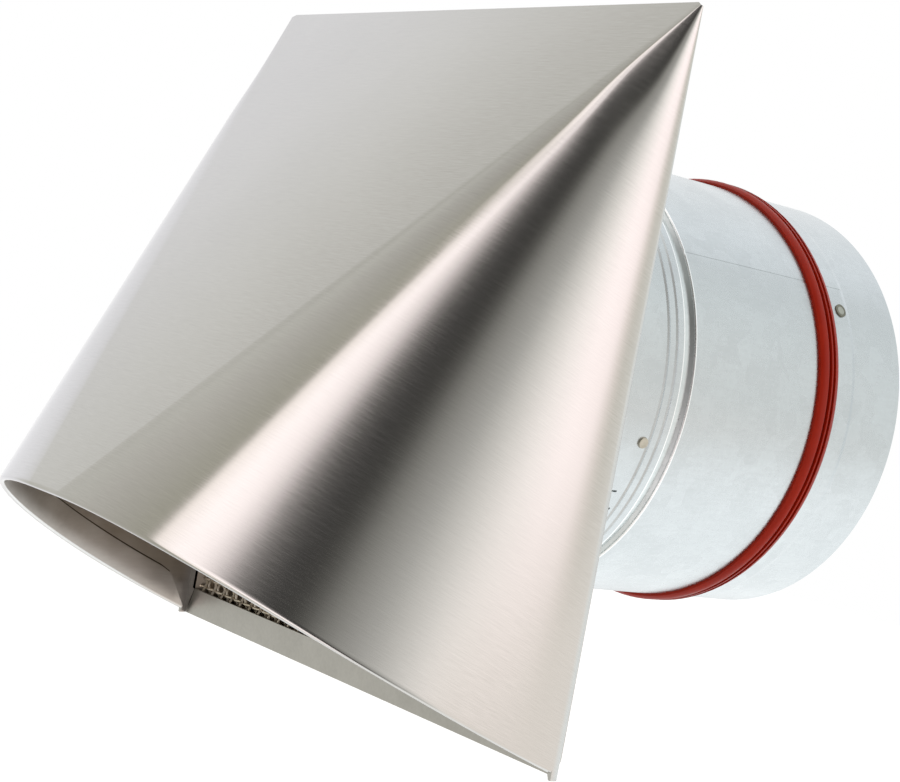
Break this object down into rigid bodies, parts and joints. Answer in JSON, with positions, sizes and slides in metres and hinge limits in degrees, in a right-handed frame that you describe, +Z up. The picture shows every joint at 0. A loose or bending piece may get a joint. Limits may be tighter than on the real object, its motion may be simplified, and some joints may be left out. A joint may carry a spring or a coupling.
{
  "type": "cowl vent",
  "caption": "Stainless wall hood with a slanted hemmed mouth, bird guard, round duct spigot with lip seal, and a sprung butterfly backdraft damper inside.",
  "frame": {"origin": "duct axis at the wall, in the wall plate's rear face", "axes": "+Y along the duct into the wall, +Z up, +X to the right seen from in front of the wall"},
  "size_m": [0.213, 0.2793, 0.2252],
  "materials": {
    "stainless": "brushed",
    "guard_wire": "bright drawn wire",
    "galvanised": "galvanised, spangled",
    "rivet": "dull",
    "bush": "tarnished",
    "axle_steel": "drawn",
    "seal": "satin",
    "foam": "matt foam",
    "leaf": "mill",
    "spring": "drawn",
    "bumper": "matt"
  },
  "bodies": {
    "housing": {"hood_shell": "stainless", "guard_sill": "stainless", "wall_plate": "stainless", "guard_upright_wires": "guard_wire", "guard_cross_wires": "guard_wire", "front_collar": "galvanised", "coupling_sleeve": "galvanised", "damper_tube": "galvanised", "seat_ring": "galvanised", "coupling_rivets": "rivet", "axle_bushes": "bush", "damper_axle": "axle_steel", "axle_clips": "axle_steel", "lip_seal": "seal", "seat_gasket": "foam"},
    "upper_flap": {"upper_leaf": "leaf", "upper_leaf_spring": "spring", "upper_leaf_bumper": "bumper"},
    "lower_flap": {"lower_leaf": "leaf", "lower_leaf_spring": "spring", "lower_leaf_bumper": "bumper"}
  },
  "joints": [
    {"name": "upper_flap_hinge", "type": "hinge", "parent": "housing", "child": "upper_flap", "pos_m": [0, 0.1241, 0], "axis": [0.8704, 0, 0.4924], "range_deg": [0, 85], "stiffness_Nm_per_rad": 0.006, "springref_deg": -28.65},
    {"name": "lower_flap_hinge", "type": "hinge", "parent": "housing", "child": "lower_flap", "pos_m": [0, 0.1241, 0], "axis": [-0.8704, 0, -0.4924], "range_deg": [0, 85], "stiffness_Nm_per_rad": 0.006, "springref_deg": -28.65}
  ]
}
